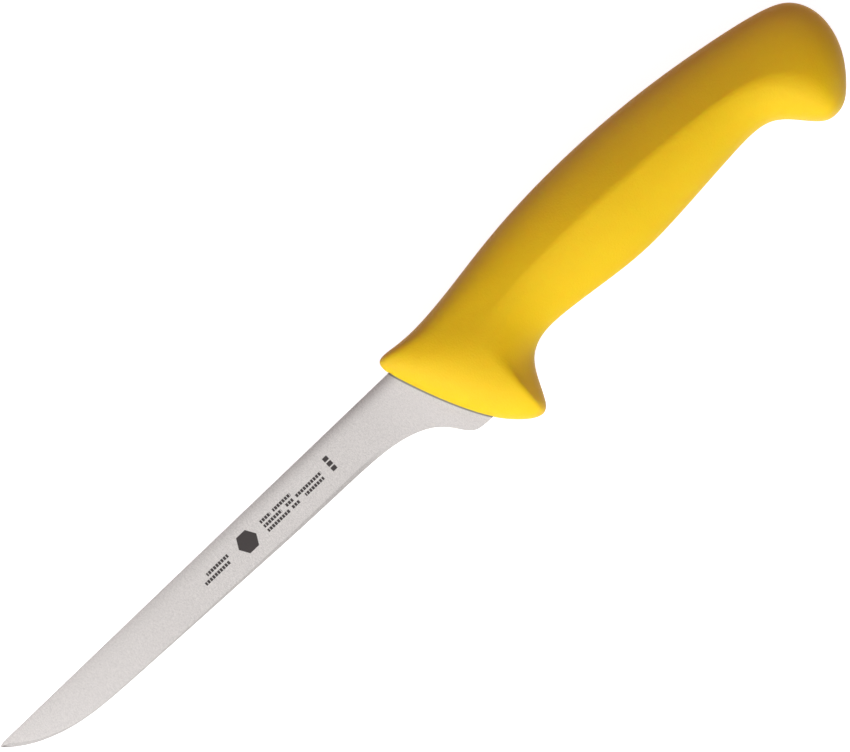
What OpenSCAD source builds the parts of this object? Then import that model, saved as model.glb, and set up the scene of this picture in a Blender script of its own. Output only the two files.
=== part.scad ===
// Boning knife: a narrow steel blade with a flat tang moulded into a one-piece polymer handle.
//
// The knife is drawn in its own plane: x runs from the blade's point towards the pommel, y towards
// the spine, with y = 0 on the spine's line, and z across the blade. It is then laid on its side,
// with its origin under the middle of its outline and its lowest point at z = 0.

/* [Blade] */
// Thickness of the sheet that the blade is cut from
stock_t = 2; // [1.6:0.1:2.4]
// Thickness of the spine at the point, after grinding
point_t = 1; // [0.8:0.05:1.2]
// Thickness where the ground faces come closest, if they ran on to the edge
behind_edge_t = 0.2; // [0.18:0.01:0.3]
// Thickness left at the cutting edge
edge_t = 0.1; // [0.05:0.01:0.12]
// Angle of the sharpened bevel on each side
bevel_angle = 15; // [12:1:20]

/* [Tang] */
// How far the tang reaches, from the blade's point
tang_end = 260; // [230:1:265]
// Width of the tang at its rounded end
tang_w = 10; // [8:0.5:11]
// Diameter of the holes that the handle's polymer fills
peg_d = 5; // [3:0.5:6]
// Number of those holes
peg_count = 3; // [1:1:4]

/* [Handle] */
// Thickness of the handle at its swell, in the middle of the palm
grip_t = 24.6; // [22:0.2:28]

/* [Fineness] */
// Cross-sections along the handle
handle_sections = 64; // [40:4:80]
// Facets from an edge of the handle up to its ridge
rib_steps = 8; // [5:1:10]
// Cross-sections along the blade
blade_sections = 48; // [36:4:80]

/* [Hidden] */
$fn = 48;

// Blade: control points of the edge, from the point round the heel and into the handle
EDGE = [
    [-1, -0.6], [0.5, -2.2], [5, -5.6], [11, -8.3], [18, -10.6], [28, -12], [45, -12.6], [65, -13.3],
    [85, -13.9], [105, -14.6], [123, -14.7], [134, -15.2], [142, -16.9], [148, -19.8], [152, -24.5],
    [154.6, -29], [159, -29], [168, -29]
];
point_r = 2;            // length over which the spine drops to the point
point_drop = 0.4;       // how far it drops there
ground_end = 126;       // the flat grind is true up to here, then runs out
run_out_end = 146;      // full stock thickness from here on
sharp_end = 124;        // the sharpened bevel fades from here
blunt_end = 138;        // and the edge is square from here on
least_bevel = 0.1;      // width of the narrowest bevel
thinnest = [28, -12];   // where the ground faces come closest
face_steps = 5;         // facets across each side of the blade
// Half thickness gained per mm along the spine, and lost per mm from the spine to the edge
distal_taper = (stock_t - point_t) / 2 / run_out_end;
edge_taper = (point_t / 2 + distal_taper * thinnest[0] - behind_edge_t / 2) / -thinnest[1];

// Tang: a block behind the heel, then a band along the middle of the handle
tang_block = [
    [160, 0], [166, 0], [172, -2], [190, -3], [190, -13], [176, -15], [168, -20], [168, -29], [160, -29]
];
band_start = [185, -8]; // first point of the band's centre line
band_slope = -0.02;
peg_first = 188;        // place of the first hole
peg_pitch = (tang_end - peg_first) / peg_count;

// Handle: control points [x, y, fullness] of its outline, where fullness is how square the edge is.
// The outer line runs from the guard's tip up the mouth, along the back and round the pommel.
OUTER = [
    [172, -38, 0.6], [170, -38, 0.5], [165.6, -34.6, 0.4], [160.3, -28.3, 0.35], [154.9, -17.7, 0.35],
    [150.8, -7.3, 0.35], [148.2, 0.4, 0.4], [148.3, 4.2, 0.45], [151.5, 4.7, 0.65], [160, 3.2, 0.85],
    [176, 4.8, 0.75], [197, 8.4, 0.5], [224, 9.8, 0.46], [254, 8.2, 0.48], [280, 4, 0.5],
    [294.9, 0.7, 0.55], [301.4, -2.8, 0.6], [304.9, -11, 0.6], [302.7, -22, 0.55],
    [295.9, -30.8, 0.55], [291.4, -34.4, 0.6], [288.1, -34.3, 0.6]
];
// The inner line runs from the guard's tip through the finger hollow and the belly to the pommel's tip
INNER = [
    [172, -38, 0.6], [173.6, -37.8, 0.55], [175.2, -35.3, 0.5], [176.7, -32, 0.5], [178.4, -28.4, 0.5],
    [180.5, -25.2, 0.5], [183.5, -22.9, 0.5], [189, -21.3, 0.35], [199, -22.1, 0.3], [211, -23.7, 0.34],
    [225, -25.2, 0.42], [243, -23.8, 0.42], [258, -22.5, 0.42], [268, -21.8, 0.46], [274.6, -23, 0.5],
    [279.3, -27.8, 0.5], [283.3, -32.8, 0.55], [286.1, -34.4, 0.6], [288.1, -34.3, 0.6]
];
// The ridge between them: [x, y, half thickness, then how far the rib has dropped at its shoulder
// towards the outer line, and towards the inner line]
RIDGE = [
    [172, -38, 0, 0, 0], [172.4, -37.5, 5, 0.3, 1.5], [172.7, -31, 9.4, 0.6, 3.2],
    [173.1, -24.5, 10.4, 0.6, 3.2], [173.6, -18.5, 10.6, 0.5, 2.2], [175.6, -13.2, 10.4, 0.9, 1],
    [180, -9, 9.6, 1.6, 0.2], [190, -6.7, 9.4, 2.1, 0.5], [207, -5.9, 10.8, 3.2, 0.7],
    [226, -6, 12.4, 3.2, 0.8], [246, -7.2, 12.3, 3, 0.8], [266, -8.9, 11.3, 3.2, 0.6],
    [280.5, -12.8, 11.8, 2.6, 0.8], [287.6, -21.5, 12.4, 1.2, 1.4], [288.2, -31, 10.6, 0.8, 1.8],
    [288.1, -34.1, 6, 0.4, 1], [288.1, -34.3, 0, 0, 0]
];
shoulder = 0.55;        // how far along the rib from the ridge that shoulder is, as a share of the rib

// Clamped cubic B-spline through control points p, at t from 0 to 1
function knot(i, n) = min(max(i - 3, 0), n - 3);
function de_boor(p, u, level, i) =
    level == 0 ? p[i] :
    let (low = knot(i, len(p)), high = knot(i + 4 - level, len(p)), w = (u - low) / (high - low))
    (1 - w) * de_boor(p, u, level - 1, i - 1) + w * de_boor(p, u, level - 1, i);
function spline(p, t) =
    let (u = t * (len(p) - 3), span = min(floor(u), len(p) - 4))
    de_boor(p, u, 3, span + 3);

function mix(a, b, t) = a + (b - a) * t;
function smooth(low, high, x) = let (t = min(max((x - low) / (high - low), 0), 1)) t * t * (3 - 2 * t);
function axis_values(points, axis) = [for (p = points) p[axis]];

// Two triangles for each cell of a closed tube of rings, count points to a ring
function tube_faces(rings, count) = [
    for (i = [0 : rings - 2], j = [0 : count - 1])
        let (a = i * count + j, b = i * count + (j + 1) % count)
        each [[a, b, b + count], [a, b + count, a + count]]
];

// The blade's edge and spine, and the half thickness of its ground faces
edge_line = [for (i = [0 : blade_sections]) spline(EDGE, i / blade_sections)];
blade_tip = edge_line[0];
blade_back = edge_line[blade_sections];
function spine_y(x) = -point_drop * pow(max(1 - (x - blade_tip[0]) / point_r, 0), 2);
function ground(x, y) = point_t / 2 + distal_taper * x + edge_taper * y;
function half_t(x, y) = mix(ground(x, y), stock_t / 2, smooth(ground_end, run_out_end, x));

// One side of the blade's section at an edge point e, from the edge up to the spine
function blade_side(e) =
    let (
        top = spine_y(e[0]),
        bevel_w = (ground(e[0], e[1]) - edge_t / 2) / (tan(bevel_angle) - edge_taper),
        shoulder_y = e[1] + min(max(bevel_w, least_bevel), (top - e[1]) / 2),
        edge_z = mix(edge_t / 2, half_t(e[0], e[1]), smooth(sharp_end, blunt_end, e[0]))
    )
    concat(
        [[e[0], e[1], edge_z]],
        [for (i = [0 : face_steps])
            let (y = mix(shoulder_y, top, i / face_steps))
            [e[0], y, half_t(e[0], y)]]
    );
function mirrored(points) = [
    for (i = [len(points) - 1 : -1 : 0]) let (p = points[i]) [p[0], p[1], -p[2]]
];
function ring_of(side) = concat(side, mirrored(side));

module ground_blade() {
    side_count = face_steps + 2;
    count = 2 * side_count;
    last = blade_sections * count;
    rings = [for (e = edge_line) ring_of(blade_side(e))];
    point_cap = [for (j = [0 : side_count - 2]) [j, count - 1 - j, count - 2 - j, j + 1]];
    back_cap = [for (c = point_cap) [for (j = [3 : -1 : 0]) last + c[j]]];
    polyhedron(
        [for (ring = rings) each ring],
        concat(tube_faces(len(rings), count), point_cap, back_cap)
    );
}

// Point at x of the tang's centre line
function band_at(x) = [x, band_start[1] + band_slope * (x - band_start[0])];

module tang_outline() {
    polygon(tang_block);
    hull() {
        translate(band_start) circle(d = tang_w);
        translate(band_at(tang_end - tang_w / 2)) circle(d = tang_w);
    }
}

module tang() {
    difference() {
        linear_extrude(stock_t, center = true) tang_outline();
        for (i = [0 : peg_count - 1])
            translate(band_at(peg_first + i * peg_pitch))
                cylinder(h = 2 * stock_t, d = peg_d, center = true);
    }
}

// The part of the blade that the handle is moulded round
module moulded_in() {
    linear_extrude(stock_t, center = true)
        polygon(concat(
            [for (e = edge_line) if (e[0] > run_out_end) [e[0], e[1]]],
            [[blade_back[0], 0], [run_out_end, 0]]
        ));
    tang();
}

// The handle's outer line and ridge, and the factor that makes its swell grip_t thick
outer_line = [for (i = [0 : handle_sections]) spline(OUTER, i / handle_sections)];
ridge_line = [for (i = [0 : handle_sections]) spline(RIDGE, i / handle_sections)];
ridge_scale = grip_t / 2 / max(axis_values(ridge_line, 2));

// One side of a rib of the handle, from the outline o with no height up to the ridge r
function rib_side(o, r, drop) =
    let (
        height = r[2] * ridge_scale,
        handles = [0, 0, 1 - shoulder, 1],
        heights = [0, o[2] * height, height - drop, height]
    )
    [for (i = [0 : rib_steps - 1])
        let (
            t = i / rib_steps,
            weights = [pow(1 - t, 3), 3 * t * pow(1 - t, 2), 3 * t * t * (1 - t), pow(t, 3)],
            along = weights * handles
        )
        [mix(o[0], r[0], along), mix(o[1], r[1], along), weights * heights]];

// Closed ring number k of the handle: up from the outer line, over the ridge to the inner line,
// and back below
function rib(k) =
    let (
        r = ridge_line[k],
        from_outer = rib_side(outer_line[k], r, r[3]),
        from_inner = rib_side(spline(INNER, k / handle_sections), r, r[4]),
        top = [r[0], r[1], r[2] * ridge_scale],
        upper = concat(from_outer, [top], [for (j = [rib_steps - 1 : -1 : 0]) from_inner[j]]),
        lower = mirrored(upper)
    )
    concat(upper, [for (j = [1 : len(lower) - 2]) lower[j]]);

module handle_skin() {
    count = 4 * rib_steps;
    inner_ribs = handle_sections - 1;
    points = [for (k = [1 : inner_ribs]) each rib(k)];
    guard_tip = len(points);
    pommel_tip = guard_tip + 1;
    last = (inner_ribs - 1) * count;
    tips = [[OUTER[0][0], OUTER[0][1], 0], [RIDGE[len(RIDGE) - 1][0], RIDGE[len(RIDGE) - 1][1], 0]];
    fans = [
        for (j = [0 : count - 1])
            let (k = (j + 1) % count)
            each [[guard_tip, k, j], [pommel_tip, last + j, last + k]]
    ];
    polyhedron(concat(points, tips), concat(tube_faces(inner_ribs, count), fans));
}

// Laid on its side, with the origin under the middle of the outline
middle_x = (blade_tip[0] + max(axis_values(outer_line, 0))) / 2;
middle_y = (min(axis_values(outer_line, 1)) + max(axis_values(outer_line, 1))) / 2;
module laid() {
    translate([-middle_x, -middle_y, grip_t / 2]) children();
}

module blade() {
    color([0.8, 0.79, 0.77]) laid() union() {
        ground_blade();
        tang();
    }
}

module handle() {
    color([0.95, 0.76, 0.1]) laid() difference() {
        handle_skin();
        moulded_in();
    }
}

blade();
handle();
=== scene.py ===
"""Boning knife: the looks. A fine blade and a fine handle stand for the two CAD nodes."""

import math

import bpy
import numpy as np
from mathutils import Matrix, Vector


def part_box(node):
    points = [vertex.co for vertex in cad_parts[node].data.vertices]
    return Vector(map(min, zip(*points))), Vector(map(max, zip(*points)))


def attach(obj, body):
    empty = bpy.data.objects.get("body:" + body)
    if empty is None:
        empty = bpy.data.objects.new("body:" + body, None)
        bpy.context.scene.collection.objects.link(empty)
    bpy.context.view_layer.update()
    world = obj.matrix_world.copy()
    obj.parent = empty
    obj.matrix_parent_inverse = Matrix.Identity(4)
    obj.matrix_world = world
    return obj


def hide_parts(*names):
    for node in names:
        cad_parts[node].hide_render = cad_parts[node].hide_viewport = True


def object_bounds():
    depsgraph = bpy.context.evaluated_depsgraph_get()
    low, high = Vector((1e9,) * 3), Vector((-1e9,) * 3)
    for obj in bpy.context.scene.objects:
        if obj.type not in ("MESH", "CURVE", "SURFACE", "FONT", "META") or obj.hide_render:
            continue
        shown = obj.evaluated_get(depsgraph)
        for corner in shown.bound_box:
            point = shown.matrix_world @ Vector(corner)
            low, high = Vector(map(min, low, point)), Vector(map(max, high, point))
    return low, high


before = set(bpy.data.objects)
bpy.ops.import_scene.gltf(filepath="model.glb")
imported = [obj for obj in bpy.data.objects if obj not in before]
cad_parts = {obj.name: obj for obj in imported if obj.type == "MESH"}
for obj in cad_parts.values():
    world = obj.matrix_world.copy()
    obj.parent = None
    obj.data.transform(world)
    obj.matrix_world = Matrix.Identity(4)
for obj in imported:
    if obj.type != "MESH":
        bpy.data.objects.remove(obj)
cad_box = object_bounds()

MM = 0.001  # the shapes below are in millimetres, in the knife's own plane

# Control points of the knife's lines. x runs from the point to the pommel, y towards the spine.
EDGE = [
    (-1, -0.6), (0.5, -2.2), (5, -5.6), (11, -8.3), (18, -10.6), (28, -12), (45, -12.6), (65, -13.3),
    (85, -13.9), (105, -14.6), (123, -14.7), (134, -15.2), (142, -16.9), (148, -19.8), (152, -24.5),
    (154.6, -29), (159, -29), (168, -29),
]
# Outline of the handle from the guard's tip over the back to the pommel's tip: x, y, edge fullness
OUTER = [
    (172, -38, 0.6), (170, -38, 0.5), (165.6, -34.6, 0.4), (160.3, -28.3, 0.35), (154.9, -17.7, 0.35),
    (150.8, -7.3, 0.35), (148.2, 0.4, 0.4), (148.3, 4.2, 0.45), (151.5, 4.7, 0.65), (160, 3.2, 0.85),
    (176, 4.8, 0.75), (197, 8.4, 0.5), (224, 9.8, 0.46), (254, 8.2, 0.48), (280, 4, 0.5),
    (294.9, 0.7, 0.55), (301.4, -2.8, 0.6), (304.9, -11, 0.6), (302.7, -22, 0.55),
    (295.9, -30.8, 0.55), (291.4, -34.4, 0.6), (288.1, -34.3, 0.6),
]
# The same along the underside, through the finger hollow
INNER = [
    (172, -38, 0.6), (173.6, -37.8, 0.55), (175.2, -35.3, 0.5), (176.7, -32, 0.5), (178.4, -28.4, 0.5),
    (180.5, -25.2, 0.5), (183.5, -22.9, 0.5), (189, -21.3, 0.35), (199, -22.1, 0.3), (211, -23.7, 0.34),
    (225, -25.2, 0.42), (243, -23.8, 0.42), (258, -22.5, 0.42), (268, -21.8, 0.46), (274.6, -23, 0.5),
    (279.3, -27.8, 0.5), (283.3, -32.8, 0.55), (286.1, -34.4, 0.6), (288.1, -34.3, 0.6),
]
# The ridge between them: x, y, half thickness, shoulder drop outwards and inwards, rounding reach
RIDGE = [
    (172, -38, 0, 0, 0, 0.1), (172.4, -37.5, 5, 0.3, 1.5, 0.6), (172.7, -31, 9.4, 0.6, 3.2, 1.2),
    (173.1, -24.5, 10.4, 0.6, 3.2, 1.6), (173.6, -18.5, 10.6, 0.5, 2.2, 2.5),
    (175.6, -13.2, 10.4, 0.9, 1, 4), (180, -9, 9.6, 1.6, 0.2, 4), (190, -6.7, 9.4, 2.1, 0.5, 2.5),
    (207, -5.9, 10.8, 3.2, 0.7, 1.5), (226, -6, 12.4, 3.2, 0.8, 1.2), (246, -7.2, 12.3, 3, 0.8, 1.2),
    (266, -8.9, 11.3, 3.2, 0.6, 1.4), (280.5, -12.8, 11.8, 2.6, 0.8, 2),
    (287.6, -21.5, 12.4, 1.2, 1.4, 3), (288.2, -31, 10.6, 0.8, 1.8, 3),
    (288.1, -34.1, 6, 0.4, 1, 0.8), (288.1, -34.3, 0, 0, 0, 0.1),
]
SHOULDER = 0.55  # how far along a rib from the ridge its shoulder is, as a share of the rib


def spline(points, t):
    """Clamped cubic B-spline through control points, at an array of t from 0 to 1."""
    p = np.array(points, float)
    n = len(p)
    knots = np.clip(np.arange(n + 4) - 3, 0, n - 3).astype(float)
    u = np.clip(t, 0, 1) * (n - 3)
    span = np.minimum(np.floor(u).astype(int), n - 4)
    d = [p[span + i] for i in range(4)]
    for level in (1, 2, 3):
        for i in range(3, level - 1, -1):
            low, high = knots[span + i], knots[span + i + 4 - level]
            w = ((u - low) / (high - low))[:, None]
            d[i] = (1 - w) * d[i - 1] + w * d[i]
    return d[3]


def bezier(points, t):
    """Bezier curve of any degree at an array of t."""
    n = len(points) - 1
    out = 0
    for i, p in enumerate(points):
        out = out + (math.comb(n, i) * (1 - t) ** (n - i) * t**i)[:, None] * np.asarray(p, float)
    return out


# The frame places the drawing: by the point, the pommel's end, the back and the middle plane
samples = np.linspace(0, 1, 2001)
handle_low, handle_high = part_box("handle")
outer_line = spline(OUTER, samples)
drawn_low = np.array([EDGE[0][0], outer_line[:, 1].min(), 0])
drawn_high = np.array([*outer_line.max(axis=0)[:2], 1])
real_size = np.array([handle_high.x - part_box("blade")[0].x, handle_high.y - handle_low.y, MM])
high_corner = np.array([*handle_high[:2], (handle_low.z + handle_high.z) / 2])
fit = real_size / MM / (drawn_high - drawn_low)
origin = high_corner / MM - fit * drawn_high * [1, 1, 0]
ridge_scale = (handle_high.z - handle_low.z) / 2 / MM / spline(RIDGE, samples)[:, 2].max()


def placed(points):
    """Drawing millimetres to metres in the row frame."""
    return (np.asarray(points, float) * fit + origin) * MM


def tube_mesh(name, rings, caps, tips=()):
    """Mesh object from closed rings of equal length, with 'strip' caps or 'tips' at its ends."""
    count = len(rings[0])
    verts = [p for ring in rings for p in ring]
    faces = []
    for i in range(len(rings) - 1):
        for j in range(count):
            a, b = i * count + j, i * count + (j + 1) % count
            faces.append((a, b, b + count, a + count))
    last = (len(rings) - 1) * count
    if caps == "strip":
        for j in range(count // 2 - 1):
            quad = (j, count - 1 - j, count - 2 - j, j + 1)
            faces.append(quad)
            faces.append(tuple(last + k for k in reversed(quad)))
    else:
        verts += list(tips)
        for j in range(count):
            k = (j + 1) % count
            faces.append((len(verts) - 2, k, j))
            faces.append((len(verts) - 1, last + j, last + k))
    mesh = bpy.data.meshes.new(name)
    mesh.from_pydata([tuple(p) for p in placed(verts)], [], faces)
    mesh.validate()
    obj = bpy.data.objects.new(name, mesh)
    bpy.context.scene.collection.objects.link(obj)
    return obj


# ---------------------------------------------------------------- handle
HANDLE_STATIONS = 420
SIDE_STEPS = 18      # facets from the outline to where the ridge's rounding starts
ROUND_STEPS = 10     # facets across the rounding
SEAM_DEPTH = 0.06    # the mould's parting line, a fine groove round the outline
SEAM_HALF = 0.12
SLOT_GAP = 0.12      # clearance between the blade and the handle's mouth
SLOT_DEPTH = 1.2
SLOT_POINTS = 400    # points along the outline, of which every SLOT_STEP-th shapes the slot
SLOT_STEP = 6
SLOT_END_X = 165     # the handle's front ends here
SLOT_RUN_TOP, SLOT_RUN_FOOT = 9, 18  # how far the cutter reaches out in front of the mouth
RIB_SAMPLES = 80     # points that measure a rib's length
MOST_ROUNDED = 0.45  # the rounding takes no more than this share of a rib
EDGE_CROWDING = 1.4  # above 1, a rib's facets are finer near the outline
SHORTEST_RIB = 0.01
HANDLE_CREASE = math.radians(38)  # sharper corners than this stay sharp


def rib_curve(o, r, drop, t):
    """A rib from the outline point o up to the ridge point r."""
    height = r[2] * ridge_scale
    start = [o[0], o[1], 0]
    wall = [o[0], o[1], o[2] * height]
    shoulder = [*(o[:2] + (r[:2] - o[:2]) * (1 - SHOULDER)), height - drop]
    return bezier([start, wall, shoulder, [r[0], r[1], height]], t)


def cut_at(curve, reach):
    """Where on the curve, from 0 to 1, a distance reach is left before its end."""
    steps = np.linalg.norm(np.diff(curve, axis=0), axis=1)
    along = np.concatenate([[0], np.cumsum(steps)])
    goal = max(along[-1] - min(reach, along[-1] * MOST_ROUNDED), 0)
    return np.interp(goal, along, np.linspace(0, 1, len(curve)))


def rib_ring(o, i, r):
    """A closed ring of the handle: up the outer rib, over the ridge, down the inner, mirrored."""
    dense = np.linspace(0, 1, RIB_SAMPLES)
    sides = []
    for line, drop in ((o, r[3]), (i, r[4])):
        end = cut_at(rib_curve(line, r, drop, dense), r[5])
        spread = np.linspace(0, 1, SIDE_STEPS + 1) ** EDGE_CROWDING
        curve = rib_curve(line, r, drop, end * spread)
        inward = (r[:2] - line[:2]) / max(np.linalg.norm(r[:2] - line[:2]), SHORTEST_RIB)
        seam = [*(line[:2] + inward * min(SEAM_DEPTH, r[2] / 10)), 0]
        lip = [*line[:2], min(SEAM_HALF, curve[1][2] / 2)]
        sides.append(np.concatenate([[seam, lip], curve[1:]]))
    top = [r[0], r[1], r[2] * ridge_scale]
    over = bezier([sides[0][-1], top, sides[1][-1]], np.linspace(0, 1, ROUND_STEPS + 1))
    upper = np.concatenate([sides[0][:-1], over, sides[1][::-1][1:]])
    lower = upper[-2:0:-1] * [1, 1, -1]
    return np.concatenate([upper, lower])


def make_handle():
    t = np.linspace(0, 1, HANDLE_STATIONS + 1)[1:-1]
    lines = zip(spline(OUTER, t), spline(INNER, t), spline(RIDGE, t))
    rings = [rib_ring(o, i, r) for o, i, r in lines]
    tips = [(*OUTER[0][:2], 0), (*RIDGE[-1][:2], 0)]
    obj = tube_mesh("handle_moulding", rings, "tips", tips)
    cut_mouth(obj)
    obj.data.shade_smooth()
    obj.data.set_sharp_from_angle(angle=HANDLE_CREASE)
    return obj


def cut_mouth(obj):
    """Cut a shallow slot round the blade where it enters the front of the handle."""
    front = spline(OUTER, np.linspace(0, 1, SLOT_POINTS))[:, :2]
    top, foot = SLOT_GAP, EDGE[-1][1] - SLOT_GAP
    beside_blade = (front[:, 1] < top) & (front[:, 1] > foot) & (front[:, 0] < SLOT_END_X)
    front = front[beside_blade][::SLOT_STEP]
    run = np.gradient(front, axis=0)
    inward = np.stack([run[:, 1], -run[:, 0]], 1) / np.linalg.norm(run, axis=1)[:, None]
    inner = front + inward * SLOT_DEPTH
    foot_x, top_x = inner[0][0], inner[-1][0]
    line = [
        (foot_x, foot), *inner[1:-1], (top_x, top),
        (top_x - SLOT_RUN_TOP, top), (foot_x - SLOT_RUN_FOOT, foot),
    ]
    half = STOCK_T / 2 + SLOT_GAP
    n = len(line)
    verts = [(*p, -half) for p in line] + [(*p, half) for p in line]
    faces = [tuple(range(n))[::-1], tuple(range(n, 2 * n))]
    faces += [(k, (k + 1) % n, (k + 1) % n + n, k + n) for k in range(n)]
    mesh = bpy.data.meshes.new("slot")
    mesh.from_pydata([tuple(p) for p in placed(verts)], [], faces)
    cutter = bpy.data.objects.new("slot", mesh)
    bpy.context.scene.collection.objects.link(cutter)
    cut = obj.modifiers.new("slot", "BOOLEAN")
    cut.operation = "DIFFERENCE"
    cut.object = cutter
    graph = bpy.context.evaluated_depsgraph_get()
    shaped = bpy.data.meshes.new_from_object(obj.evaluated_get(graph))
    obj.modifiers.clear()
    obj.data = shaped
    bpy.data.objects.remove(cutter)


# ---------------------------------------------------------------- blade
BLADE_STATIONS = 300
STOCK_T = 2.0
POINT_T = 1.0
EDGE_T = 0.1
BEVEL_SLOPE = math.tan(math.radians(15))
BEHIND_EDGE_T = 0.2      # where the ground faces come closest, at THINNEST
THINNEST = (28, -12)
SPINE_ROUND = 0.15       # easing of the spine's two corners
CROWN_W = 4.0            # the faces fall away over this width towards the spine
CROWN_AT_POINT, CROWN_AT_HANDLE = 0.05, 0.4
CROWN_GROWS = 155        # and the fall grows over this length of the blade
BELLY = 0.1              # how full the ground faces are half way across
BELLY_W = 12             # on a face of this width or more
BELLY_LOST = 0.6         # share of it that the run-out takes away
HEEL_FALL = 0.012        # the stock's slight slope towards the heel, per mm
POINT_FALL, POINT_FALL_W = 0.14, 28   # the faces fall away towards the point
POINT_R, POINT_DROP = 2.0, 0.4        # the spine drops at the point
GROUND_END, RUN_OUT_END = 126, 146    # the flat grind runs out into full stock
SHARP_END, BLUNT_END = 124, 138       # the sharpened bevel fades to a square edge
LEAST_BEVEL = 0.1
DISTAL_TAPER = (STOCK_T - POINT_T) / 2 / RUN_OUT_END
EDGE_TAPER = (POINT_T / 2 + DISTAL_TAPER * THINNEST[0] - BEHIND_EDGE_T / 2) / -THINNEST[1]
FACE_STEPS = 22
SPINE_CROWDING = 1.6     # above 1, the facets are finer towards the spine
CORNER_STEPS = 3         # facets round each corner of the spine
BLADE_CREASE = math.radians(14)
BEVEL_CELLS = (0, -2, -1)  # places in a ring of faces: the two bevels, and the edge between them


def smooth(low, high, x):
    """0 below low, 1 above high, and an even curve between them."""
    t = min(max((x - low) / (high - low), 0), 1)
    return t * t * (3 - 2 * t)


def ground(x, y):
    """Half thickness of the flat grind."""
    return POINT_T / 2 + DISTAL_TAPER * x + EDGE_TAPER * y


def half_t(x, y):
    """Half thickness of the blade, where the grind runs out into full stock."""
    return ground(x, y) + (STOCK_T / 2 - ground(x, y)) * smooth(GROUND_END, RUN_OUT_END, x)


def face_z(x, y, shoulder, spine):
    """Half thickness of the finished face: fuller in the middle and crowned at the spine."""
    across = (y - shoulder) / (spine - shoulder)
    belly = BELLY * 4 * across * (1 - across) * min((spine - shoulder) / BELLY_W, 1) ** 2
    belly *= 1 - BELLY_LOST * smooth(GROUND_END, RUN_OUT_END, x)
    deep = CROWN_AT_POINT + (CROWN_AT_HANDLE - CROWN_AT_POINT) * smooth(0, CROWN_GROWS, x)
    crown = deep * max(1 - (spine - y) / CROWN_W, 0) ** 2
    heel = HEEL_FALL * max(-CROWN_W - y, 0) * smooth(GROUND_END, RUN_OUT_END, x)
    point = POINT_FALL * max(1 - x / POINT_FALL_W, 0) ** 2
    return half_t(x, y) + belly - crown - heel - point


def blade_ring(e):
    """Section of the blade at an edge point: edge, bevel, face, eased corner, and mirrored."""
    x, y = e
    spine = -POINT_DROP * max(1 - (x - EDGE[0][0]) / POINT_R, 0) ** 2
    bevel_w = max((ground(x, y) - EDGE_T / 2) / (BEVEL_SLOPE - EDGE_TAPER), LEAST_BEVEL)
    shoulder = y + min(bevel_w, (spine - y) / 2)
    square = face_z(x, shoulder, shoulder, spine)
    edge_z = EDGE_T / 2 + (square - EDGE_T / 2) * smooth(SHARP_END, BLUNT_END, x)
    ease = min(SPINE_ROUND, (spine - shoulder) / 3)
    side = [(x, y, edge_z)]
    for k in range(FACE_STEPS + 1):
        yy = shoulder + (spine - ease - shoulder) * (1 - (1 - k / FACE_STEPS) ** SPINE_CROWDING)
        side.append((x, yy, face_z(x, yy, shoulder, spine)))
    corner = face_z(x, spine, shoulder, spine)
    for k in range(1, CORNER_STEPS + 1):
        a = math.pi / 2 * k / CORNER_STEPS
        side.append((x, spine - ease + ease * math.sin(a), corner - ease + ease * math.cos(a)))
    return side + [(px, py, -pz) for px, py, pz in reversed(side)]


MOUTH_SPAN, MOUTH_POINTS = (0.02, 0.32), 600    # the part of the outline round the mouth
MOUTH = spline(OUTER, np.linspace(*MOUTH_SPAN, MOUTH_POINTS))[:, :2]
MOUTH_RUN = np.gradient(MOUTH, axis=0)


def before_mouth(p):
    """Distance from a point of the blade to the handle's front line, below 0 inside the handle."""
    away = p - MOUTH
    near = np.linalg.norm(away, axis=1).argmin()
    side = MOUTH_RUN[near][0] * away[near][1] - MOUTH_RUN[near][1] * away[near][0]
    return math.copysign(np.linalg.norm(away[near]), side)


def make_blade():
    t = np.linspace(0, 1, BLADE_STATIONS + 1)
    rings = [blade_ring(e) for e in spline(EDGE, t)]
    obj = tube_mesh("blade_steel", rings, "strip")
    obj.data.flip_normals()
    count = len(rings[0])
    sharp = [1 - smooth(SHARP_END, BLUNT_END, ring[0][0]) for ring in rings]
    bevel_cells = {cell % count for cell in BEVEL_CELLS}
    skin = BLADE_STATIONS * count
    values = [sharp[k // count] if k % count in bevel_cells else 0 for k in range(skin)]
    values += [0] * (len(obj.data.polygons) - skin)
    honed = obj.data.attributes.new("honed", "FLOAT", "FACE")
    honed.data.foreach_set("value", values)
    gap = obj.data.attributes.new("gap", "FLOAT", "POINT")
    gap.data.foreach_set("value", [before_mouth(p[:2]) for ring in rings for p in ring])
    obj.data.shade_smooth()
    obj.data.set_sharp_from_angle(angle=BLADE_CREASE)
    return obj


# ---------------------------------------------------------------- materials
RANGE_SOCKETS = ("From Min", "From Max", "To Min", "To Max")


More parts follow.
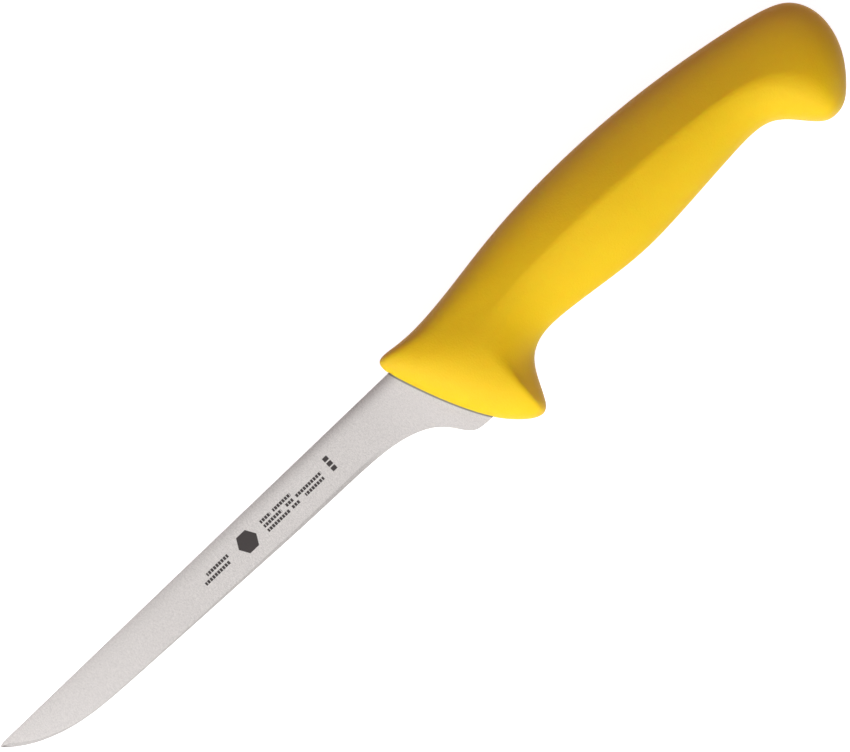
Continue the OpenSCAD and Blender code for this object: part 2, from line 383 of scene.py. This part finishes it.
class Nodes:
    """Short calls for a material's node tree."""

    def __init__(self, name):
        self.material = bpy.data.materials.new(name)
        self.material.use_nodes = True
        self.tree = self.material.node_tree
        self.shader = self.tree.nodes["Principled BSDF"]
        self.place = self.add("ShaderNodeTexCoord").outputs["Object"]

    def add(self, kind, **settings):
        made = self.tree.nodes.new(kind)
        for key, value in settings.items():
            setattr(made, key, value)
        return made

    def put(self, value, socket):
        if isinstance(value, bpy.types.NodeSocket):
            self.tree.links.new(value, socket)
        else:
            socket.default_value = value

    def math(self, operation, a, b=0.0):
        made = self.add("ShaderNodeMath", operation=operation)
        self.put(a, made.inputs[0])
        self.put(b, made.inputs[1])
        return made.outputs[0]

    def stretched(self, scale):
        made = self.add("ShaderNodeMapping")
        self.put(self.place, made.inputs["Vector"])
        made.inputs["Scale"].default_value = scale
        return made.outputs["Vector"]

    def noise(self, scale, detail, vector=None):
        made = self.add("ShaderNodeTexNoise")
        self.put(vector if vector is not None else self.place, made.inputs["Vector"])
        made.inputs["Scale"].default_value = scale
        made.inputs["Detail"].default_value = detail
        return made.outputs["Fac"]

    def ranged(self, value, low, high, to_low, to_high):
        made = self.add("ShaderNodeMapRange")
        self.put(value, made.inputs["Value"])
        for socket, number in zip(RANGE_SOCKETS, (low, high, to_low, to_high)):
            self.put(number, made.inputs[socket])
        return made.outputs["Result"]

    def blend(self, factor, a, b):
        made = self.add("ShaderNodeMix", data_type="RGBA")
        self.put(factor, made.inputs["Factor"])
        self.put(a, made.inputs["A"])
        self.put(b, made.inputs["B"])
        return made.outputs["Result"]

    def bump(self, height, distance):
        made = self.add("ShaderNodeBump")
        self.put(height, made.inputs["Height"])
        made.inputs["Strength"].default_value = 1.0
        made.inputs["Distance"].default_value = distance
        return made.outputs["Normal"]

    def set(self, **values):
        for key, value in values.items():
            self.put(value, self.shader.inputs[key.replace("_", " ")])


YELLOW_DEEP, YELLOW_PALE = (0.695, 0.485, 0.002, 1), (0.725, 0.5, 0.004, 1)
NOISE_LOW, NOISE_HIGH = 0.3, 0.7      # a noise's values seldom leave this range
CLOUDS, SHEEN_PATCHES, MOULD_GRAIN = 35, 900, 1800   # noise scales, per metre
MOULD_GRAIN_DEPTH = 0.00008
MATTE = (0.48, 0.58)                  # least and greatest roughness


def polymer():
    """Matte golden polymer with a fine moulded grain."""
    n = Nodes("handle_polymer")
    tone = n.ranged(n.noise(CLOUDS, 3), NOISE_LOW, NOISE_HIGH, 0, 1)
    n.set(
        Base_Color=n.blend(tone, YELLOW_DEEP, YELLOW_PALE),
        Specular_IOR_Level=0.25,
        Subsurface_Weight=0.3,
        Subsurface_Radius=(1, 0.35, 0.1),
        Subsurface_Scale=0.003,
        Roughness=n.ranged(n.noise(SHEEN_PATCHES, 2), NOISE_LOW, NOISE_HIGH, *MATTE),
        Normal=n.bump(n.noise(MOULD_GRAIN, 3), MOULD_GRAIN_DEPTH),
    )
    return n.material


# Plain etched marks: rows of short blocks, three stamps, and one solid six-sided shape.
# Each bar is where it starts and ends along the blade, and its middle and half width across it.
BARS = [
    (73.4, 81.4, -5.7, 0.5), (71.4, 80.6, -7.4, 0.5),
    (94.2, 98, -5.4, 0.48), (99, 105.6, -5.4, 0.48),
    (94.2, 100.8, -7, 0.48), (102.4, 105.2, -7, 0.48), (106.2, 116, -7, 0.48),
    (94.2, 102.4, -8.6, 0.48), (103.4, 106.4, -8.6, 0.48), (108.6, 115.6, -8.6, 0.48),
]
STAMPS = [(118.7, 120.3, -5.2, 0.65), (118.7, 120.3, -6.9, 0.65), (118.7, 120.3, -8.6, 0.65)]
BLOCK = 0.95             # pitch of the blocks that a bar is broken into
BLOCK_SHARE = 0.78
HEXAGON = (88, -6.8, 2.9)   # its middle, and the distance from there to its flats


def drawing_place(n):
    """The surface point's three coordinates in the drawing, in millimetres."""
    split = n.add("ShaderNodeSeparateXYZ")
    n.put(n.place, split.inputs["Vector"])
    in_mm = [n.math("MULTIPLY", split.outputs[k], 1 / MM) for k in range(3)]
    return [n.math("SUBTRACT", value, float(origin[k])) for k, value in enumerate(in_mm)]


def etched(n, along, across, above):
    """1 inside the marks on the upper face, and 0 elsewhere."""

    def bar(start, end, middle, half):
        inside = n.math("COMPARE", along, (start + end) / 2)
        inside.node.inputs[2].default_value = (end - start) / 2
        level = n.math("COMPARE", across, middle)
        level.node.inputs[2].default_value = half
        return n.math("MULTIPLY", inside, level)

    def total(shapes):
        both = shapes[0]
        for shape in shapes[1:]:
            both = n.math("MAXIMUM", both, shape)
        return both

    blocks = n.math("LESS_THAN", n.math("FRACT", n.math("DIVIDE", along, BLOCK)), BLOCK_SHARE)
    rows = n.math("MULTIPLY", total([bar(*b) for b in BARS]), blocks)
    far = n.math("ABSOLUTE", n.math("SUBTRACT", along, HEXAGON[0]))
    aside = n.math("ABSOLUTE", n.math("SUBTRACT", across, HEXAGON[1]))
    slanted = n.math("MULTIPLY", far, math.cos(math.pi / 6))
    slant = n.math("ADD", slanted, n.math("MULTIPLY", aside, 0.5))
    hexagon = n.math("LESS_THAN", n.math("MAXIMUM", aside, slant), HEXAGON[2])
    upper = n.math("GREATER_THAN", above, 0)
    return n.math("MULTIPLY", total([rows, hexagon, *(bar(*b) for b in STAMPS)]), upper)


GRIND_TONES = (0.6, 0.595, 0.58, 1), (0.82, 0.81, 0.79, 1)     # over most of the blade
PAINTED_LIGHT_TONES = (0.72, 0.715, 0.7, 1), (0.89, 0.88, 0.86, 1)    # painted light: lighter copies of the tones at the heel and the point
BLACK = (0, 0, 0, 1)
SHADE_IN_GAP = (0.1, 0.09, 0.07, 1)
MARK_TONE = (0.055, 0.052, 0.05, 1)
GRAIN_LOW, GRAIN_HIGH = 0.36, 0.64
STROKE_SCALE = (5200, 1300, 5200)     # the grinding strokes run across the blade
SPECK_SCALE = 3400
GRIND_DEPTH = 0.000003
PAINTED_LIGHT_HEEL = (RUN_OUT_END - 10, RUN_OUT_END + 4)   # the painted light tones come in between these
PAINTED_LIGHT_POINT, PAINTED_LIGHT_POINT_SHARE = (10, 60), 0.8    # and go out between these
HONED_PAINTED_SHADE = 0.15
GAP_DARK, GAP_LIGHT, GAP_SHARE = 0.15, 0.4, 0.7     # the shade along the mouth, and its strength
SATIN = (0.33, 0.41)                                # least and greatest roughness
MARK_ROUGHNESS, MARK_METALLIC = 0.6, 0.4


def steel():
    """Satin-ground steel with painted light at its two ends, painted shade along the mouth and on the
    honed bevel, and the marks.
    """
    n = Nodes("blade_steel")
    strokes = n.noise(1, 2, n.stretched(STROKE_SCALE))
    specks = n.noise(SPECK_SCALE, 2)
    grain = n.math("ADD", n.math("MULTIPLY", strokes, 0.5), n.math("MULTIPLY", specks, 0.5))
    tone = n.ranged(grain, GRAIN_LOW, GRAIN_HIGH, 0, 1)
    place = drawing_place(n)
    # painted light: the steel's colour is made lighter towards the heel and the point
    heel = n.ranged(place[0], *PAINTED_LIGHT_HEEL, 0, 1)
    point = n.ranged(place[0], *PAINTED_LIGHT_POINT, PAINTED_LIGHT_POINT_SHARE, 0)
    ends = n.math("MAXIMUM", heel, point)
    bare = n.blend(ends, n.blend(tone, *GRIND_TONES), n.blend(tone, *PAINTED_LIGHT_TONES))
    honed = n.add("ShaderNodeAttribute", attribute_name="honed").outputs["Fac"]
    # painted shade: the honed bevel's colour is darkened towards black, which tones down its highlight
    bare = n.blend(n.math("MULTIPLY", honed, HONED_PAINTED_SHADE), bare, BLACK)
    # painted shade: a dark line on the steel just in front of the handle's mouth, where the handle
    # shades it
    gap = n.add("ShaderNodeAttribute", attribute_name="gap").outputs["Fac"]
    bare = n.blend(n.ranged(gap, GAP_DARK, GAP_LIGHT, GAP_SHARE, 0), bare, SHADE_IN_GAP)
    marks = etched(n, *place)
    satin = n.ranged(grain, GRAIN_LOW, GRAIN_HIGH, *SATIN)
    n.set(
        Base_Color=n.blend(marks, bare, MARK_TONE),
        Metallic=n.ranged(marks, 0, 1, 1, MARK_METALLIC),
        Roughness=n.math("MAXIMUM", satin, n.math("MULTIPLY", marks, MARK_ROUGHNESS)),
        Normal=n.bump(grain, GRIND_DEPTH),
    )
    return n.material


def finish_piece(obj, material, node):
    obj.data.materials.append(material)
    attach(obj, "root")
    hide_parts(node)


finish_piece(make_handle(), polymer(), "handle")
finish_piece(make_blade(), steel(), "blade")


# ---------------------------------------------------------------- stage, light and camera
ROLL = math.radians(43.8)          # the knife lies at this slope, point down to the left
RIGHT = Vector((math.cos(ROLL), -math.sin(ROLL), 0))
UP = Vector((math.sin(ROLL), math.cos(ROLL), 0))
VIEW_CENTRE = Vector(placed((155.4, -7.7, 0)))
VIEW_W = 0.2361                    # width of the view at the knife
CAMERA_H = 1.6
SENSOR_W = 36
CLIP_END = 20
FLOOR_HALF = 3.0
FLOOR_GAP = 0.0002                 # the floor lies this far below the knife
ROOM = (0.112, 0.072, 0.072)       # light from the room above the table
BOUNCE = (0.62, 0.38, 0.35)        # and back up from the table
HORIZON_BLUR = 0.1
WHITE, ROSE = (1, 1, 1), (1, 0.02, 0.6)
# Each lamp: name, degrees from the picture's foot towards its left, degrees above the table,
# distance, width and height in metres, watts, colour, and the only kind of light that it gives.
# The key's mirror image is a wider and dimmer panel, so that the steel keeps its tone in more views.
# The fill warms the shaded side. The panels give the steel and the polymer something to mirror.
LAMPS = [
    ("key", 8, 36, 1.5, 1.0, 1.0, 32.3, WHITE, "diffuse"),
    ("key_sheen", 8, 36, 1.5, 3.4, 1.7, 26.5, WHITE, "glossy"),
    ("top", 0, 85, 1.3, 0.84, 0.84, 2.3, WHITE, None),
    ("side", -90, 12, 1.5, 1.0, 0.5, 2.5, WHITE, None),
    ("fill", 180, 50, 1.5, 1.0, 1.0, 2.5, ROSE, "diffuse"),
    ("panel", 50, 16, 2.0, 1.8, 1.0, 13, WHITE, "glossy"),
    ("panel", 90, 20, 2.0, 3.2, 1.0, 6, WHITE, "glossy"),
    ("panel", 180, 22, 2.0, 3.2, 1.2, 13, WHITE, "glossy"),
    ("panel", 270, 20, 2.0, 3.2, 1.0, 2.5, WHITE, "glossy"),
]


def make_floor():
    """A plain white table. The world's lower half gives the light that bounces off it."""
    mesh = bpy.data.meshes.new("floor")
    corners = [(x * FLOOR_HALF, y * FLOOR_HALF, 0) for x, y in ((-1, -1), (1, -1), (1, 1), (-1, 1))]
    mesh.from_pydata(corners, [], [(0, 1, 2, 3)])
    floor = bpy.data.objects.new("floor", mesh)
    floor.location.z = cad_box[0].z - FLOOR_GAP
    bpy.context.scene.collection.objects.link(floor)
    n = Nodes("floor_white")
    n.set(
        Base_Color=(0.42, 0.42, 0.42, 1),
        Roughness=0.8,
        Emission_Color=(1, 1, 1, 1),
        Emission_Strength=0.9,
    )
    mesh.materials.append(n.material)
    floor.visible_diffuse = False


def softbox(name, round_by, rise, distance, width, height, watts, colour, only):
    """A rectangular lamp that faces the knife and gives only 'diffuse' or 'glossy' light, or both."""
    light = bpy.data.lights.new(name, "AREA")
    light.shape = "RECTANGLE"
    light.size, light.size_y = width, height
    light.energy = watts
    light.color = colour
    lamp = bpy.data.objects.new(name, light)
    away = from_table(round_by, rise).normalized()
    lamp.location = VIEW_CENTRE + away * distance
    lamp.rotation_mode = "QUATERNION"
    lamp.rotation_quaternion = away.to_track_quat("Z", "Y")
    lamp.visible_glossy = only != "diffuse"
    lamp.visible_diffuse = lamp.visible_camera = only != "glossy"
    bpy.context.scene.collection.objects.link(lamp)


def from_table(round_by, rise):
    """Direction at these degrees from the picture's foot towards its left, and above the table."""
    a, e = math.radians(round_by), math.radians(rise)
    return (-UP * math.cos(a) - RIGHT * math.sin(a)) * math.cos(e) + Vector((0, 0, math.sin(e)))


def make_world():
    """A dim warm room above the table, and the pale light that the table throws back up."""
    world = bpy.data.worlds.new("studio")
    world.use_nodes = True
    tree = world.node_tree
    place = tree.nodes.new("ShaderNodeTexCoord")
    split = tree.nodes.new("ShaderNodeSeparateXYZ")
    tree.links.new(place.outputs["Generated"], split.inputs["Vector"])
    below = tree.nodes.new("ShaderNodeMapRange")
    tree.links.new(split.outputs["Z"], below.inputs["Value"])
    for socket, number in zip(RANGE_SOCKETS, (-HORIZON_BLUR, HORIZON_BLUR, 1, 0)):
        below.inputs[socket].default_value = number
    mix = tree.nodes.new("ShaderNodeMix")
    mix.data_type = "RGBA"
    tree.links.new(below.outputs["Result"], mix.inputs["Factor"])
    mix.inputs["A"].default_value = (*ROOM, 1)
    mix.inputs["B"].default_value = (*BOUNCE, 1)
    tree.links.new(mix.outputs["Result"], tree.nodes["Background"].inputs["Color"])
    bpy.context.scene.world = world


def make_camera():
    """Straight down on the knife, with the picture's up at the knife's slope."""
    camera = bpy.data.cameras.new("camera")
    camera.sensor_width = SENSOR_W
    camera.lens = camera.sensor_width * CAMERA_H / VIEW_W
    camera.clip_end = CLIP_END
    obj = bpy.data.objects.new("camera", camera)
    turn = Matrix((RIGHT, UP, Vector((0, 0, 1)))).transposed()
    obj.matrix_world = Matrix.Translation(VIEW_CENTRE + Vector((0, 0, CAMERA_H))) @ turn.to_4x4()
    bpy.context.scene.collection.objects.link(obj)
    bpy.context.scene.camera = obj


make_floor()
for settings in LAMPS:
    softbox(*settings)
make_world()
make_camera()
bpy.context.scene.view_settings.view_transform = "Standard"
